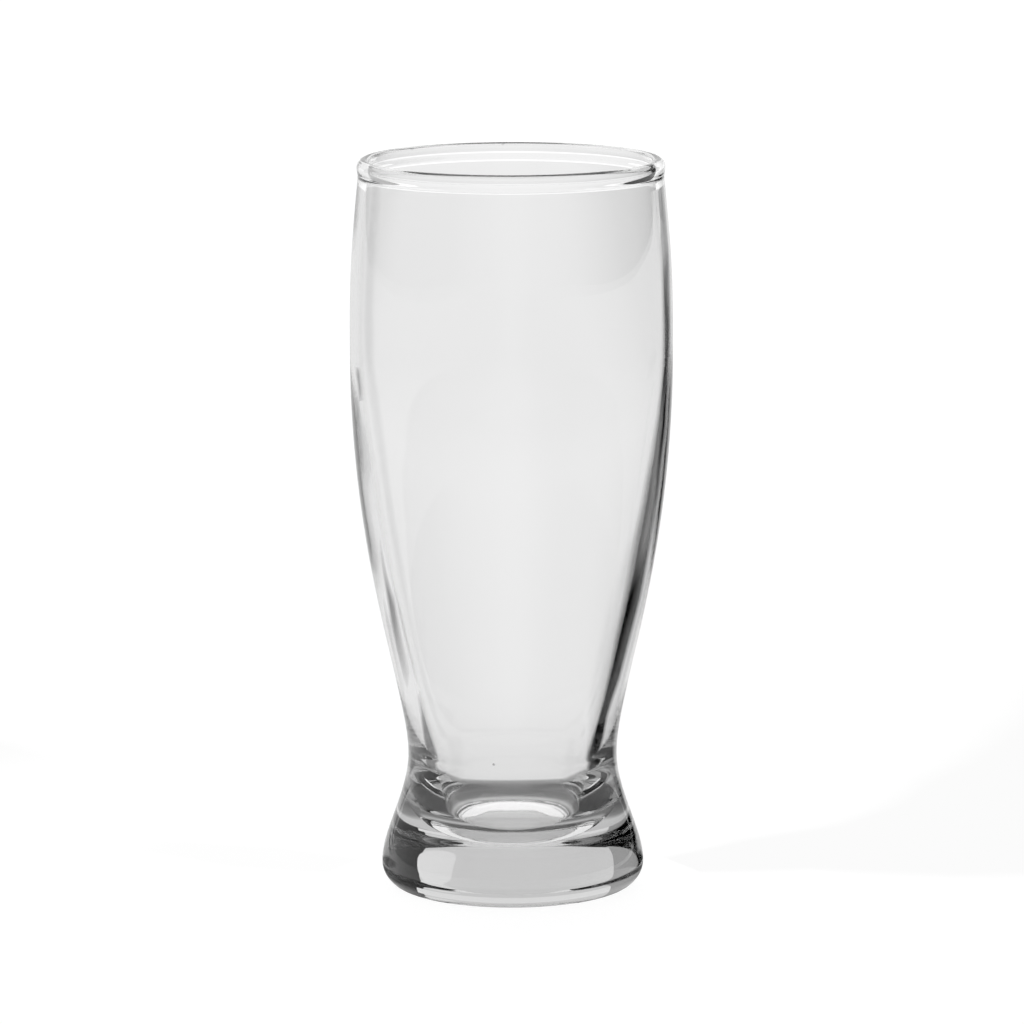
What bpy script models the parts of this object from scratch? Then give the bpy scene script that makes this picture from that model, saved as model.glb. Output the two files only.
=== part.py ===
"""Tulip beer glass: one turned piece of clear glass with a heavy flared foot.

Metres, +Z up. The origin is on the axis, in the plane that the glass stands on.
The solid is a half outline turned about Z. The outline starts in the middle of the
floor, climbs the inside, goes over the lip, comes down the outside and ends in the
middle of the underside.
"""

import math

import bpy
from mathutils import Vector
from mathutils.geometry import interpolate_bezier

# Outside, from the rim down
HEIGHT = 0.165
RIM_RADIUS = 0.0338
BELLY_RADIUS = 0.0361
BELLY_HEIGHT = 0.1217
WAIST_RADIUS = 0.0235
WAIST_HEIGHT = 0.0304
FOOT_RADIUS = 0.0295
FOOT_EDGE_RADIUS = 0.0058

# Glass thickness: the round lip, the bowl, the thick waist and the solid base
LIP_WALL = 0.002
BELLY_WALL = 0.0018
WAIST_WALL = 0.0054
BASE_THICKNESS = 0.01

# Inside the foot: a flat floor, a wide round corner and a wall that leans out a little
WELL_DRAFT = math.radians(4.7)
WELL_CORNER_RADIUS = 0.0088

# Underside: a flat ring to stand on, round a recess with sloped sides and a flat top
RING_WIDTH = 0.003
RECESS_DEPTH = 0.0025
RECESS_SIDE_WIDTH = 0.0025

# How the walls bend between their stations. A slope is the radius lost for each unit of
# height gained. A pull is the length of a curve's handle, as a share of the curve's height,
# or of its width in the underside.
RIM_SLOPE = 0.1
RIM_PULL = 0.45
BELLY_PULL_UP = 0.41
BELLY_PULL_DOWN = 0.53
WAIST_PULL_UP = 0.16
WAIST_PULL_DOWN = 0.36
FOOT_PULL = 0.27
INSIDE_BELLY_PULL = 0.34
INSIDE_WAIST_PULL = 0.05
RECESS_PULL = 0.5

# Facets round the axis, along each stretch of wall, and on each quarter of a round
STEPS_AROUND = 72
STEPS_ON_WALL = 10
STEPS_ON_ROUND = 5

QUARTER_ROUND_PULL = 4 / 3 * math.tan(math.pi / 8)
AXIS_MERGE = 0.00001

UP = Vector((0.0, 0.0, 1.0))
OUT = Vector((1.0, 0.0, 0.0))


def point(radius, height):
    """A point of the half outline, which lies in the plane of +X and Z."""
    return OUT * radius + UP * height


def curve(start, start_pull, end, end_pull, steps):
    """Points of a Bezier stretch. Each pull runs from its end point to that end's handle."""
    return interpolate_bezier(start, start + start_pull, end + end_pull, end, steps + 1)


def quarter_round(start, corner, end):
    """Points of a round stretch from start to end, tangent to the two lines that meet in corner."""
    start_pull = (corner - start) * QUARTER_ROUND_PULL
    end_pull = (corner - end) * QUARTER_ROUND_PULL
    return curve(start, start_pull, end, end_pull, STEPS_ON_ROUND)


def bowl_top(rim, belly):
    """The upper wall from the rim down to the belly, where it stands upright."""
    rise = rim.z - belly.z
    rim_pull = (OUT * RIM_SLOPE - UP) * RIM_PULL * rise
    return curve(rim, rim_pull, belly, UP * BELLY_PULL_UP * rise, STEPS_ON_WALL)


def outside_wall():
    """From the lip's outer side down to the widest part of the foot."""
    rim = point(RIM_RADIUS, HEIGHT - LIP_WALL / 2)
    belly = point(BELLY_RADIUS, BELLY_HEIGHT)
    waist = point(WAIST_RADIUS, WAIST_HEIGHT)
    foot = point(FOOT_RADIUS, FOOT_EDGE_RADIUS)
    drop = belly.z - waist.z
    flare = waist.z - foot.z
    top = bowl_top(rim, belly)
    bowl = curve(belly, -UP * BELLY_PULL_DOWN * drop, waist, UP * WAIST_PULL_UP * drop, STEPS_ON_WALL)
    skirt = curve(waist, -UP * WAIST_PULL_DOWN * flare, foot, UP * FOOT_PULL * flare, STEPS_ON_WALL)
    return [*top, *bowl[1:], *skirt[1:]]


def inside_wall():
    """From the middle of the floor up to the lip's inner side."""
    rim = point(RIM_RADIUS - LIP_WALL, HEIGHT - LIP_WALL / 2)
    belly = point(BELLY_RADIUS - BELLY_WALL, BELLY_HEIGHT)
    waist = point(WAIST_RADIUS - WAIST_WALL, WAIST_HEIGHT)
    rise = belly.z - waist.z
    draft = OUT * math.tan(WELL_DRAFT) + UP
    corner = waist - draft * (WAIST_HEIGHT - BASE_THICKNESS)
    floor_edge = corner - OUT * WELL_CORNER_RADIUS
    well_foot = corner + draft.normalized() * WELL_CORNER_RADIUS
    corner_round = quarter_round(floor_edge, corner, well_foot)
    waist_pull = draft * INSIDE_WAIST_PULL * rise
    bowl = curve(waist, waist_pull, belly, -UP * INSIDE_BELLY_PULL * rise, STEPS_ON_WALL)
    top = bowl_top(rim, belly)[::-1]
    return [point(0.0, BASE_THICKNESS), *corner_round, *bowl, *top[1:]]


def lip():
    """The half round over the top of the rim, without its ends, which belong to the walls."""
    radius = LIP_WALL / 2
    middle = point(RIM_RADIUS - radius, HEIGHT - radius)
    steps = 2 * STEPS_ON_ROUND
    angles = [math.pi * (1 - step / steps) for step in range(1, steps)]
    return [middle + (OUT * math.cos(angle) + UP * math.sin(angle)) * radius for angle in angles]


def underside():
    """The foot's round edge, the ring that stands on the table, and the recess inside it."""
    foot = point(FOOT_RADIUS, FOOT_EDGE_RADIUS)
    ring_outer = point(FOOT_RADIUS - FOOT_EDGE_RADIUS, 0.0)
    ring_inner = ring_outer - OUT * RING_WIDTH
    recess_edge = ring_inner - OUT * RECESS_SIDE_WIDTH + UP * RECESS_DEPTH
    pull = OUT * RECESS_PULL * RECESS_SIDE_WIDTH
    foot_edge = quarter_round(foot, point(FOOT_RADIUS, 0.0), ring_outer)
    recess_side = curve(ring_inner, -pull, recess_edge, pull, STEPS_ON_ROUND)
    return [*foot_edge[1:], *recess_side, point(0.0, RECESS_DEPTH)]


def glass_material():
    """Clear soda-lime glass."""
    material = bpy.data.materials.new("clear_glass")
    material.use_nodes = True
    shader = material.node_tree.nodes["Principled BSDF"]
    shader.inputs["Base Color"].default_value = (0.96, 0.97, 0.97, 1.0)
    shader.inputs["Metallic"].default_value = 0.0
    shader.inputs["Roughness"].default_value = 0.0
    shader.inputs["IOR"].default_value = 1.52
    shader.inputs["Transmission Weight"].default_value = 1.0
    return material


def beer_glass():
    """The whole glass, turned from its half outline."""
    outline = [*inside_wall(), *lip(), *outside_wall(), *underside()]
    mesh = bpy.data.meshes.new("beer_glass")
    mesh.from_pydata(outline, [(i, i + 1) for i in range(len(outline) - 1)], [])
    mesh.materials.append(glass_material())
    glass = bpy.data.objects.new("beer_glass", mesh)
    bpy.context.scene.collection.objects.link(glass)
    turn = glass.modifiers.new("turn", "SCREW")
    turn.axis = "Z"
    turn.angle = math.tau
    turn.steps = STEPS_AROUND
    turn.render_steps = STEPS_AROUND
    turn.use_merge_vertices = True
    turn.merge_threshold = AXIS_MERGE
    turn.use_smooth_shade = True
    return glass


for old in list(bpy.data.objects):
    bpy.data.objects.remove(old)
beer_glass()
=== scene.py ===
import math

import bpy
from mathutils import Matrix, Vector
from mathutils.geometry import interpolate_bezier


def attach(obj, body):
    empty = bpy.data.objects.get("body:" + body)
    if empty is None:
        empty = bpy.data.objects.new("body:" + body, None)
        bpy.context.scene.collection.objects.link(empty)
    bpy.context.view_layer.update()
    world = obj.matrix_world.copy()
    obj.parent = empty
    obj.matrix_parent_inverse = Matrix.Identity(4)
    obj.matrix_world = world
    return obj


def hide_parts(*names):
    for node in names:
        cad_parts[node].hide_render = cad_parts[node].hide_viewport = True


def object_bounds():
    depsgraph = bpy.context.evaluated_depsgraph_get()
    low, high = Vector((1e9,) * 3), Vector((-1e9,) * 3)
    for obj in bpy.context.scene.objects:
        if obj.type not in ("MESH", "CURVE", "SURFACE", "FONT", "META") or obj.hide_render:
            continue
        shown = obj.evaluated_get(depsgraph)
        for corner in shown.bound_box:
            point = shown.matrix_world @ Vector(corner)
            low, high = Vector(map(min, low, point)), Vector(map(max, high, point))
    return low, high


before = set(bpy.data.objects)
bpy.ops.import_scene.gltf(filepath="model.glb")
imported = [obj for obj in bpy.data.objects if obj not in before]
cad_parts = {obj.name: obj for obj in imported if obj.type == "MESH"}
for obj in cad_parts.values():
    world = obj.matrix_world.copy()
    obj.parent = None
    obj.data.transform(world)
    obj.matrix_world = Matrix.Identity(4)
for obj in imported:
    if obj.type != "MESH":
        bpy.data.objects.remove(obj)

cad_low, cad_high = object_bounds()

# The glass
# One piece of clear soda-lime glass, pressed and then blown in a mould: the foot and the waist stay thick,
# and the wall is drawn thin towards the belly. The rim is cut and then melted into a round bead.
HEIGHT = cad_high.z
BELLY_RADIUS = cad_high.x
RIM_RADIUS = 0.0338
BELLY_HEIGHT = 0.1217
WAIST_RADIUS = 0.0235
WAIST_HEIGHT = 0.0304
FOOT_RADIUS = 0.0295
FOOT_EDGE_RADIUS = 0.0058
RIM_WALL = 0.002
BEAD_WIDTH = 0.0031
BEAD_HEIGHT = 0.0019
NECK_DEPTH = 0.0043
BELLY_WALL = 0.0018
WAIST_WALL = 0.0054
BASE_THICKNESS = 0.01
WELL_DRAFT = math.radians(4.7)
WELL_CORNER_RADIUS = 0.0088
RING_WIDTH = 0.003
RECESS_DEPTH = 0.0025
RECESS_SIDE_WIDTH = 0.0025
RIM_SLOPE = 0.1
RIM_PULL = 0.45
BELLY_PULL_UP = 0.41
BELLY_PULL_DOWN = 0.53
WAIST_PULL_UP = 0.16
WAIST_PULL_DOWN = 0.36
FOOT_PULL = 0.27
INSIDE_BELLY_PULL = 0.34
INSIDE_WAIST_PULL = 0.05
RECESS_PULL = 0.5
NECK_PULL = 0.4
BEAD_SIDE_PULL = 0.35
QUARTER_ROUND_PULL = 4 / 3 * math.tan(math.pi / 8)
STEPS_ON_WALL = 28
STEPS_ON_ROUND = 10
STEPS_AROUND = 384
AXIS_MERGE = 0.00001
GLASS_IOR = 1.52
GLASS_TINT = 0.915
GLASS_DENSITY = 100.0
WAVE_SCALE = 40.0
WAVE_DETAIL = 1.0
WAVE_DEPTH = 0.00014
FILM_SCALE = 70.0
FILM_DETAIL = 4.0
FILM_STARTS = 0.5
FILM_FULL = 0.75
FILM_ROUGHNESS = 0.06
DUST_TONE = 0.3
DUST_CORE = 0.5
DUST_SPECKS = [
    (-0.0227, 0.0230, 0.1643, 0.0008),
    (-0.0170, 0.0275, 0.1643, 0.0006),
    (-0.0018, 0.0322, 0.1643, 0.0007),
    (-0.0042, -0.0232, 0.0323, 0.0004),
]
UP = Vector((0.0, 0.0, 1.0))
OUT = Vector((1.0, 0.0, 0.0))


def spot(radius, height):
    return OUT * radius + UP * height


def stretch(start, start_pull, end, end_pull, steps):
    return interpolate_bezier(start, start + start_pull, end + end_pull, end, steps + 1)


def quarter_round(start, corner, end):
    start_pull = (corner - start) * QUARTER_ROUND_PULL
    end_pull = (corner - end) * QUARTER_ROUND_PULL
    return stretch(start, start_pull, end, end_pull, STEPS_ON_ROUND)


def bowl_top(rim, belly):
    rise = rim.z - belly.z
    rim_pull = (OUT * RIM_SLOPE - UP) * RIM_PULL * rise
    return stretch(rim, rim_pull, belly, UP * BELLY_PULL_UP * rise, STEPS_ON_WALL)


rim = spot(RIM_RADIUS + RIM_SLOPE * (NECK_DEPTH - RIM_WALL / 2), HEIGHT - NECK_DEPTH)
belly = spot(BELLY_RADIUS, BELLY_HEIGHT)
waist = spot(WAIST_RADIUS, WAIST_HEIGHT)
foot = spot(FOOT_RADIUS, FOOT_EDGE_RADIUS)
drop = belly.z - waist.z
flare = waist.z - foot.z
outside = bowl_top(rim, belly)
outside += stretch(belly, -UP * BELLY_PULL_DOWN * drop, waist, UP * WAIST_PULL_UP * drop, STEPS_ON_WALL)[1:]
outside += stretch(waist, -UP * WAIST_PULL_DOWN * flare, foot, UP * FOOT_PULL * flare, STEPS_ON_WALL)[1:]

ring_outer = spot(FOOT_RADIUS - FOOT_EDGE_RADIUS, 0.0)
ring_inner = ring_outer - OUT * RING_WIDTH
recess_edge = ring_inner - OUT * RECESS_SIDE_WIDTH + UP * RECESS_DEPTH
recess_pull = OUT * RECESS_PULL * RECESS_SIDE_WIDTH
underside = quarter_round(foot, spot(FOOT_RADIUS, 0.0), ring_outer)[1:]
underside += stretch(ring_inner, -recess_pull, recess_edge, recess_pull, STEPS_ON_ROUND)
underside += [spot(0.0, RECESS_DEPTH)]

inner_rim = rim - OUT * RIM_WALL
inner_belly = spot(BELLY_RADIUS - BELLY_WALL, BELLY_HEIGHT)
inner_waist = spot(WAIST_RADIUS - WAIST_WALL, WAIST_HEIGHT)
draft = OUT * math.tan(WELL_DRAFT) + UP
corner = inner_waist - draft * (WAIST_HEIGHT - BASE_THICKNESS)
floor_edge = corner - OUT * WELL_CORNER_RADIUS
well_foot = corner + draft.normalized() * WELL_CORNER_RADIUS
waist_pull = draft * INSIDE_WAIST_PULL * drop
belly_pull = -UP * INSIDE_BELLY_PULL * drop
inside = [spot(0.0, BASE_THICKNESS)] + quarter_round(floor_edge, corner, well_foot)
inside += stretch(inner_waist, waist_pull, inner_belly, belly_pull, 2 * STEPS_ON_WALL)
inside += bowl_top(inner_rim, inner_belly)[::-1][1:]

bead_top = spot(RIM_RADIUS - RIM_WALL / 2, HEIGHT)
bead_outer = bead_top + OUT * BEAD_WIDTH / 2 - UP * BEAD_HEIGHT
bead_inner = bead_outer - OUT * BEAD_WIDTH
neck_pull = (UP - OUT * RIM_SLOPE) * NECK_PULL * (NECK_DEPTH - BEAD_HEIGHT)
side_pull = -UP * BEAD_SIDE_PULL * (NECK_DEPTH - BEAD_HEIGHT)
bead = stretch(inner_rim, neck_pull, bead_inner, side_pull, STEPS_ON_ROUND)
bead += quarter_round(bead_inner, bead_inner + UP * BEAD_HEIGHT, bead_top)[1:]
bead += quarter_round(bead_top, bead_outer + UP * BEAD_HEIGHT, bead_outer)[1:]
bead += stretch(bead_outer, side_pull, rim, neck_pull, STEPS_ON_ROUND)[1:]

outline = [*inside, *bead[1:-1], *outside, *underside]
glass_mesh = bpy.data.meshes.new("tulip_glass")
glass_mesh.from_pydata(outline, [(i, i + 1) for i in range(len(outline) - 1)], [])
glass = bpy.data.objects.new("tulip_glass", glass_mesh)
bpy.context.scene.collection.objects.link(glass)
turn = glass.modifiers.new("turn", "SCREW")
turn.axis = "Z"
turn.steps = STEPS_AROUND
turn.render_steps = STEPS_AROUND
turn.use_merge_vertices = True
turn.merge_threshold = AXIS_MERGE
turn.use_smooth_shade = True

clear_glass = bpy.data.materials.new("clear_glass")
clear_glass.use_nodes = True
nodes = clear_glass.node_tree.nodes
links = clear_glass.node_tree.links
shader = nodes["Principled BSDF"]
shader.inputs["IOR"].default_value = GLASS_IOR
shader.inputs["Transmission Weight"].default_value = 1.0
depth = nodes.new("ShaderNodeVolumeAbsorption")
depth.inputs["Color"].default_value = (GLASS_TINT, GLASS_TINT, GLASS_TINT, 1.0)
depth.inputs["Density"].default_value = GLASS_DENSITY
links.new(depth.outputs["Volume"], nodes["Material Output"].inputs["Volume"])
place = nodes.new("ShaderNodeTexCoord")

mould_waves = nodes.new("ShaderNodeTexNoise")
mould_waves.inputs["Scale"].default_value = WAVE_SCALE
mould_waves.inputs["Detail"].default_value = WAVE_DETAIL
links.new(place.outputs["Object"], mould_waves.inputs["Vector"])
waviness = nodes.new("ShaderNodeBump")
waviness.inputs["Strength"].default_value = 1.0
waviness.inputs["Distance"].default_value = WAVE_DEPTH
links.new(mould_waves.outputs[0], waviness.inputs["Height"])
links.new(waviness.outputs["Normal"], shader.inputs["Normal"])

wiped_film = nodes.new("ShaderNodeTexNoise")
wiped_film.inputs["Scale"].default_value = FILM_SCALE
wiped_film.inputs["Detail"].default_value = FILM_DETAIL
links.new(place.outputs["Object"], wiped_film.inputs["Vector"])
film = nodes.new("ShaderNodeMapRange")
film.inputs["From Min"].default_value = FILM_STARTS
film.inputs["From Max"].default_value = FILM_FULL
film.inputs["To Max"].default_value = FILM_ROUGHNESS
links.new(wiped_film.outputs[0], film.inputs["Value"])
links.new(film.outputs[0], shader.inputs["Roughness"])

clear_spots = None
for x, y, z, radius in DUST_SPECKS:
    away = nodes.new("ShaderNodeVectorMath")
    away.operation = "DISTANCE"
    away.inputs[1].default_value = (x, y, z)
    links.new(place.outputs["Object"], away.inputs[0])
    speck = nodes.new("ShaderNodeMapRange")
    speck.interpolation_type = "SMOOTHSTEP"
    speck.inputs["From Min"].default_value = DUST_CORE * radius
    speck.inputs["From Max"].default_value = radius
    speck.inputs["To Min"].default_value = DUST_TONE
    links.new(away.outputs["Value"], speck.inputs["Value"])
    if clear_spots is None:
        clear_spots = speck.outputs[0]
        continue
    both = nodes.new("ShaderNodeMath")
    both.operation = "MULTIPLY"
    links.new(clear_spots, both.inputs[0])
    links.new(speck.outputs[0], both.inputs[1])
    clear_spots = both.outputs[0]
links.new(clear_spots, shader.inputs["Base Color"])
glass_mesh.materials.append(clear_glass)
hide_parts("beer_glass")
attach(glass, "root")

# The table
# A white sheet that the glass stands on. It glows, so that it stays white out to the edge of the picture.
# Seen through the glass it is darker in rings round the foot, painted shadow with painted light under the
# middle and in one ring, and a little darker far off and at the sides, painted light falloff and painted
# shade.
TABLE_HALF = 3.0
TABLE_DROP = 0.0001
TABLE_TONE = 0.12
TABLE_GLOW = 0.81
TABLE_GLOW_IN_PICTURE = 0.95
# Painted shadow round the foot, lighter under its middle and in one ring where painted light stands in for
# light let through the glass
PAINTED_CONTACT_SHADE_REACH = 0.06
PAINTED_CONTACT_SHADOW_AND_LIGHT_TONES = [
    (0.0, 0.56),
    (0.0202, 0.56),
    (0.0207, 0.08),
    (0.025, 0.1),
    (0.028, 0.64),
    (0.031, 0.19),
    (0.036, 0.1),
    (0.0402, 0.28),
    (0.0432, TABLE_GLOW),
]
# Painted light falloff: lighter from 0.2 to 0.42 off the axis, darker close by and further off
PAINTED_FALLOFF_REACH = 1.0
PAINTED_FALLOFF_TONES = [(0.0, 0.94), (0.1, 0.96), (0.2, 1.0), (0.42, 1.0), (0.5, 0.96), (0.75, 0.93)]
# Painted shade: darker towards the left edge, and more towards the right
PAINTED_SIDE_SHADE_REACH = 0.2
PAINTED_SIDE_SHADE_TONES = [(-0.2, 0.93), (-0.13, 1.0), (0.05, 1.0), (0.12, 0.91), (0.2, 0.88)]

table_mesh = bpy.data.meshes.new("white_table")
table_corners = [(-TABLE_HALF, -TABLE_HALF, 0), (TABLE_HALF, -TABLE_HALF, 0)]
table_corners += [(TABLE_HALF, TABLE_HALF, 0), (-TABLE_HALF, TABLE_HALF, 0)]
table_mesh.from_pydata(table_corners, [], [(0, 1, 2, 3)])
table = bpy.data.objects.new("white_table", table_mesh)
table.location.z = -TABLE_DROP
bpy.context.scene.collection.objects.link(table)

white = bpy.data.materials.new("white_sheet")
white.use_nodes = True
nodes = white.node_tree.nodes
links = white.node_tree.links
sheet = nodes["Principled BSDF"]
sheet.inputs["Base Color"].default_value = (TABLE_TONE, TABLE_TONE, TABLE_TONE, 1.0)
sheet.inputs["Roughness"].default_value = 1.0
sheet.inputs["Specular IOR Level"].default_value = 0.0
sheet.inputs["Emission Color"].default_value = (1.0, 1.0, 1.0, 1.0)
place = nodes.new("ShaderNodeTexCoord")
reach = nodes.new("ShaderNodeVectorMath")
reach.operation = "LENGTH"
links.new(place.outputs["Object"], reach.inputs[0])
axes = nodes.new("ShaderNodeSeparateXYZ")
links.new(place.outputs["Object"], axes.inputs[0])


def tone_ramp(along, low, high, tones):
    share = nodes.new("ShaderNodeMapRange")
    share.inputs["From Min"].default_value = low
    share.inputs["From Max"].default_value = high
    links.new(along, share.inputs["Value"])
    ramp = nodes.new("ShaderNodeValToRGB")
    links.new(share.outputs[0], ramp.inputs["Fac"])
    stops = ramp.color_ramp.elements
    stops.remove(stops[1])
    first_tone = tones[0][1]
    stops[0].color = (first_tone, first_tone, first_tone, 1.0)
    for at, tone in tones[1:]:
        stop = stops.new((at - low) / (high - low))
        stop.color = (tone, tone, tone, 1.0)
    return ramp.outputs["Color"]


def times(first, second):
    product = nodes.new("ShaderNodeMath")
    product.operation = "MULTIPLY"
    links.new(first, product.inputs[0])
    links.new(second, product.inputs[1])
    return product.outputs[0]


# Painted shadow and painted light round the foot, seen only through the glass
painted_contact_shadow_and_light = tone_ramp(reach.outputs["Value"], 0.0, PAINTED_CONTACT_SHADE_REACH, PAINTED_CONTACT_SHADOW_AND_LIGHT_TONES)
far = tone_ramp(reach.outputs["Value"], 0.0, PAINTED_FALLOFF_REACH, PAINTED_FALLOFF_TONES)
painted_side_shade = tone_ramp(axes.outputs["X"], -PAINTED_SIDE_SHADE_REACH, PAINTED_SIDE_SHADE_REACH, PAINTED_SIDE_SHADE_TONES)
# What the glass sees of the table is painted shadow round the foot, times painted falloff, times painted side
# shade
glow = times(times(painted_contact_shadow_and_light, far), painted_side_shade)
path = nodes.new("ShaderNodeLightPath")
in_picture = nodes.new("ShaderNodeMix")
in_picture.inputs["B"].default_value = TABLE_GLOW_IN_PICTURE
links.new(path.outputs["Is Camera Ray"], in_picture.inputs["Factor"])
links.new(glow, in_picture.inputs["A"])
links.new(in_picture.outputs["Result"], sheet.inputs["Emission Strength"])
table_mesh.materials.append(white)

# The studio
# A white panel in two steps and a round reflector stand behind the glass, a grey wall at its left, and a soft
# box hangs over it. Four soft-edged dark cards lie on the table and draw the dark lines down the glass. Three
# are
# painted shadow: dark sheets where the glass's own shadow falls on the table to its right and left.
PANEL_BACK = 2.5
PANEL_LEFT = -1.93
PANEL_RIGHT = 1.62
PANEL_FOOT_RIGHT = 1.85
PANEL_STEP = 0.3
PANEL_TOP = 1.2
PANEL_FOOT_POWER = 1.15
PANEL_POWER = 0.94
DISC_WIDTH = 0.62
DISC_HEIGHT = 0.42
DISC_MIDDLE = Vector((0.902, 1.874, 0.549))
DISC_SIDES = 64
DISC_POWER = 1.13
WALL_LEFT = -2.6
WALL_FRONT = -2.5
WALL_TOP = 2.4
WALL_POWER = 0.5
CARD_LIFT = 0.0001
CARD_EDGE_TONE = 0.76
CARD_COLUMNS = 4
BLACK_CARD_SOFT = 4
GREY_CARD_SOFT = 3
# A row is a distance from the glass's axis, the card's two bearings there in degrees from +Y, and its tone
# Painted shadow: the dark edge of the glass's shadow on the table to the right, black, turning grey far off
BLACK_SHADOW_CARD = [
    (0.044, 50, 76, 0.0),
    (0.07, 47, 80, 0.0),
    (0.1, 48, 88, 0.0),
    (0.125, 44, 88, 0.0),
    (0.15, 39, 84, 0.0),
    (0.18, 36, 75, 0.0),
    (0.21, 33, 65, 0.0),
    (0.25, 30, 56, 0.0),
    (0.3, 27, 48, 0.0),
    (0.36, 25, 45, 0.0),
    (0.46, 25, 44, 0.0),
    (0.6, 25, 44, 0.0),
    (0.9, 23, 43, 0.05),
    (2.4, 17, 36, 0.3),
]
# Painted shadow: the glass's shadow close round the foot on the left
NEAR_SHADOW_CARD = [
    (0.044, -50, -76, 0.25),
    (0.066, -52, -76, 0.25),
    (0.09, -57, -70, 0.25),
    (0.115, -60, -66, 0.6),
]
# Painted shadow: the left edge of the glass's shadow, further out
LEFT_SHADOW_CARD = [
    (0.145, -40, -50, 0.7),
    (0.17, -36, -50, 0.45),
    (0.19, -36, -50, 0.2),
    (0.205, -36, -46, 0.1),
    (0.22, -35, -43, 0.3),
    (0.235, -36, -42, 0.7),
]
FAR_GREY_CARD = [
    (0.44, -35, -45, 0.6),
    (0.5, -34, -44, 0.2),
    (0.62, -31, -41, 0.2),
    (0.7, -30, -40, 0.6),
]
BOX_WIDTH = 1.8
BOX_LENGTH = 2.6
BOX_PLACE = (0.0, 1.2, 1.2)
BOX_ENERGY = 19.5
ROOM_FRONT = 0.82
ROOM_DARK = 0.01
ROOM_FALLOFF = 1.5


def card_of(name, corners, faces):
    mesh = bpy.data.meshes.new(name)
    mesh.from_pydata(corners, [], faces)
    made = bpy.data.objects.new(name, mesh)
    made.visible_camera = False
    made.visible_shadow = False
    bpy.context.scene.collection.objects.link(made)
    paper = bpy.data.materials.new(name)
    paper.use_nodes = True
    face = paper.node_tree.nodes["Principled BSDF"]
    face.inputs["Base Color"].default_value = (0.0, 0.0, 0.0, 1.0)
    face.inputs["Roughness"].default_value = 1.0
    face.inputs["Specular IOR Level"].default_value = 0.0
    face.inputs["Emission Color"].default_value = (1.0, 1.0, 1.0, 1.0)
    mesh.materials.append(paper)
    return made, paper.node_tree


def lit_card(name, corners, power):
    made, tree = card_of(name, corners, [range(len(corners))])
    tree.nodes["Principled BSDF"].inputs["Emission Strength"].default_value = power
    return made


def on_table(reach, bearing):
    angle = math.radians(bearing)
    return Vector((reach * math.sin(angle), reach * math.cos(angle), CARD_LIFT))


def soft_card(name, stations, soft):
    corners = []
    tones = []
    for reach, inner, outer, tone in stations:
        edge = math.copysign(soft, outer)
        bearings = (inner - edge, inner + edge, outer - edge, outer + edge)
        corners += [on_table(reach, bearing) for bearing in bearings]
        tones += [CARD_EDGE_TONE, tone, tone, CARD_EDGE_TONE]
    rows = range(len(stations) - 1)
    starts = [CARD_COLUMNS * row + column for row in rows for column in range(CARD_COLUMNS - 1)]
    faces = [(at, at + 1, at + 1 + CARD_COLUMNS, at + CARD_COLUMNS) for at in starts]
    made, tree = card_of(name, corners, faces)
    made.data.attributes.new("tone", "FLOAT", "POINT").data.foreach_set("value", tones)
    tone = tree.nodes.new("ShaderNodeAttribute")
    tone.attribute_name = "tone"
    tree.links.new(tone.outputs["Fac"], tree.nodes["Principled BSDF"].inputs["Emission Strength"])


panel_foot = [(PANEL_LEFT, PANEL_BACK, 0), (PANEL_FOOT_RIGHT, PANEL_BACK, 0)]
foot_head = [(PANEL_FOOT_RIGHT, PANEL_BACK, PANEL_STEP), (PANEL_LEFT, PANEL_BACK, PANEL_STEP)]
panel_step = [(PANEL_RIGHT, PANEL_BACK, PANEL_STEP), (PANEL_LEFT, PANEL_BACK, PANEL_STEP)]
panel_head = [(PANEL_RIGHT, PANEL_BACK, PANEL_TOP), (PANEL_LEFT, PANEL_BACK, PANEL_TOP)]
lit_card("back_panel_foot", panel_foot + foot_head, PANEL_FOOT_POWER)
lit_card("back_panel", panel_step[::-1] + panel_head, PANEL_POWER)
disc_angles = [math.tau * step / DISC_SIDES for step in range(DISC_SIDES)]
disc_rim = [(math.cos(a) * DISC_WIDTH / 2, math.sin(a) * DISC_HEIGHT / 2, 0.0) for a in disc_angles]
disc = lit_card("round_reflector", disc_rim, DISC_POWER)
disc.location = DISC_MIDDLE
disc.rotation_euler = DISC_MIDDLE.to_track_quat("Z", "Y").to_euler()
wall_foot = [(WALL_LEFT, WALL_FRONT, 0), (PANEL_LEFT, PANEL_BACK, 0)]
wall_head = [(PANEL_LEFT, PANEL_BACK, WALL_TOP), (WALL_LEFT, WALL_FRONT, WALL_TOP)]
lit_card("left_wall", wall_foot + wall_head, WALL_POWER)

# The first three cards are painted shadow of the glass on the table
soft_card("painted_shadow_black_card", BLACK_SHADOW_CARD, BLACK_CARD_SOFT)
soft_card("painted_shadow_near_card", NEAR_SHADOW_CARD, GREY_CARD_SOFT)
soft_card("painted_shadow_left_card", LEFT_SHADOW_CARD, GREY_CARD_SOFT)
soft_card("far_grey_card", FAR_GREY_CARD, GREY_CARD_SOFT)

soft_box = bpy.data.lights.new("soft_box", "AREA")
soft_box.shape = "RECTANGLE"
soft_box.size = BOX_WIDTH
soft_box.size_y = BOX_LENGTH
soft_box.energy = BOX_ENERGY
lamp = bpy.data.objects.new("soft_box", soft_box)
lamp.location = BOX_PLACE
lamp.visible_camera = False
bpy.context.scene.collection.objects.link(lamp)

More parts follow.
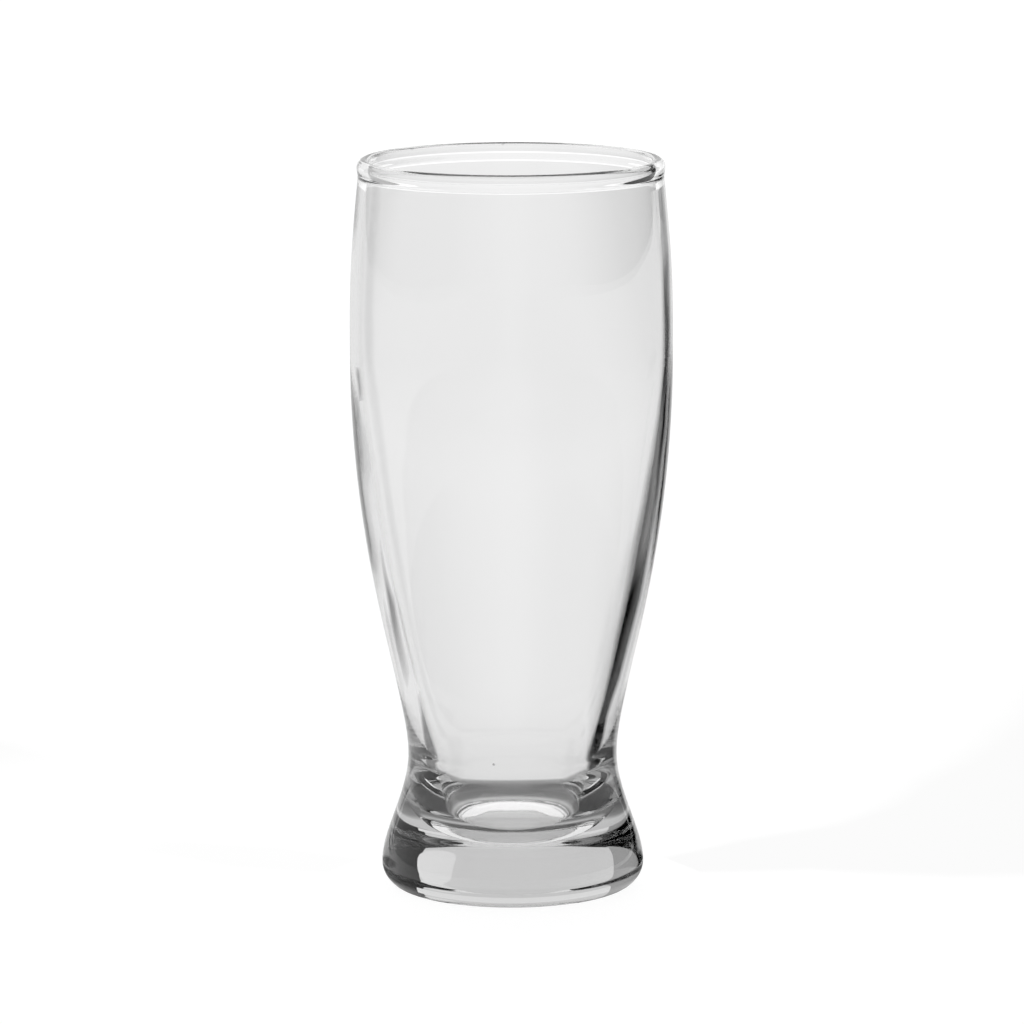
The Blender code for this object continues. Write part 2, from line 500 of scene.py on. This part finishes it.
world = bpy.data.worlds.new("room")
bpy.context.scene.world = world
world.use_nodes = True
nodes = world.node_tree.nodes
links = world.node_tree.links
background = nodes["Background"]
background.inputs["Color"].default_value = (1.0, 1.0, 1.0, 1.0)
direction = nodes.new("ShaderNodeTexCoord")
axes = nodes.new("ShaderNodeSeparateXYZ")
links.new(direction.outputs["Generated"], axes.inputs[0])
forward = nodes.new("ShaderNodeMapRange")
forward.inputs["From Max"].default_value = -1.0
links.new(axes.outputs["Y"], forward.inputs["Value"])
falloff = nodes.new("ShaderNodeMath")
falloff.operation = "POWER"
falloff.inputs[1].default_value = ROOM_FALLOFF
links.new(forward.outputs[0], falloff.inputs[0])
room = nodes.new("ShaderNodeMath")
room.operation = "MULTIPLY_ADD"
room.inputs[1].default_value = ROOM_FRONT
room.inputs[2].default_value = ROOM_DARK
links.new(falloff.outputs[0], room.inputs[0])
path = nodes.new("ShaderNodeLightPath")
in_picture = nodes.new("ShaderNodeMath")
in_picture.operation = "MAXIMUM"
links.new(path.outputs["Is Camera Ray"], in_picture.inputs[0])
links.new(room.outputs[0], in_picture.inputs[1])
links.new(in_picture.outputs[0], background.inputs["Strength"])

# The camera
# It stands as far off and as high as the photograph's, so that the mouth shows as a flat ellipse. Its focal
# length and its middle are in the photograph's pixels, and its tilt and roll are in radians.
IMAGE_WIDTH = 1024
FOCAL_PIXELS = 6658.0
MIDDLE_PIXEL = 511.84
SENSOR_WIDTH = 36.0
CAMERA_PLACE = (0, -1.4726, 0.3314)
CAMERA_TILT = 0.1656
CAMERA_ROLL = -0.0027
LIGHT_BOUNCES = 32

camera_data = bpy.data.cameras.new("camera")
camera_data.sensor_width = SENSOR_WIDTH
camera_data.lens = SENSOR_WIDTH * FOCAL_PIXELS / IMAGE_WIDTH
camera_data.shift_x = (IMAGE_WIDTH / 2 - MIDDLE_PIXEL) / IMAGE_WIDTH
camera = bpy.data.objects.new("camera", camera_data)
bpy.context.scene.collection.objects.link(camera)
camera.matrix_world = (
    Matrix.Translation(CAMERA_PLACE)
    @ Matrix.Rotation(math.pi / 2 - CAMERA_TILT, 4, "X")
    @ Matrix.Rotation(CAMERA_ROLL, 4, "Z")
)
bpy.context.scene.camera = camera
bpy.context.scene.view_settings.view_transform = "Standard"
bpy.context.scene.cycles.max_bounces = LIGHT_BOUNCES
bpy.context.scene.cycles.transmission_bounces = LIGHT_BOUNCES
bpy.context.scene.cycles.glossy_bounces = LIGHT_BOUNCES
